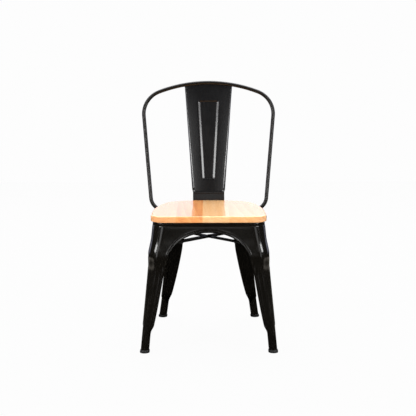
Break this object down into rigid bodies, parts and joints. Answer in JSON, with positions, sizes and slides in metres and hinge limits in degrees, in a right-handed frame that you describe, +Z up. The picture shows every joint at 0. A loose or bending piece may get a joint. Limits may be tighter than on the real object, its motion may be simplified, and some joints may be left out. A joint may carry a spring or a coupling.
{
  "type": "industrial metal dining chair",
  "caption": "Stacking dining chair with a black folded sheet-steel frame, a bent tube back with an embossed steel splat, and a glued wooden seat.",
  "frame": {"origin": "on the floor, under the middle of the chair's bounding box", "axes": "+Z up, the front of the chair faces -Y, +X to the right as seen from the front"},
  "size_m": [0.463, 0.4778, 0.8449],
  "materials": {
    "wood": "glossy clear lacquer",
    "black_steel": "semi-gloss black powder coat",
    "foot_cap": "matt black",
    "fastener": "blackened zinc"
  },
  "bodies": {
    "root": {"seat_board_1": "wood", "seat_board_2": "wood", "seat_board_3": "wood", "seat_board_4": "wood", "seat_board_5": "wood", "seat_screws": "fastener", "seat_pan": "black_steel", "front_apron": "black_steel", "rear_apron": "black_steel", "left_apron": "black_steel", "right_apron": "black_steel", "front_left_leg": "black_steel", "front_right_leg": "black_steel", "rear_left_leg": "black_steel", "rear_right_leg": "black_steel", "front_left_foot_cap": "foot_cap", "front_right_foot_cap": "foot_cap", "rear_left_foot_cap": "foot_cap", "rear_right_foot_cap": "foot_cap", "upper_brace_bar": "black_steel", "lower_brace_bar": "black_steel", "brace_rivet": "black_steel", "back_hoop": "black_steel", "left_hoop_saddle": "black_steel", "right_hoop_saddle": "black_steel", "hoop_bolts": "fastener", "hoop_nuts": "fastener", "back_splat": "black_steel", "splat_bolts": "fastener", "splat_nuts": "fastener"}
  },
  "joints": []
}
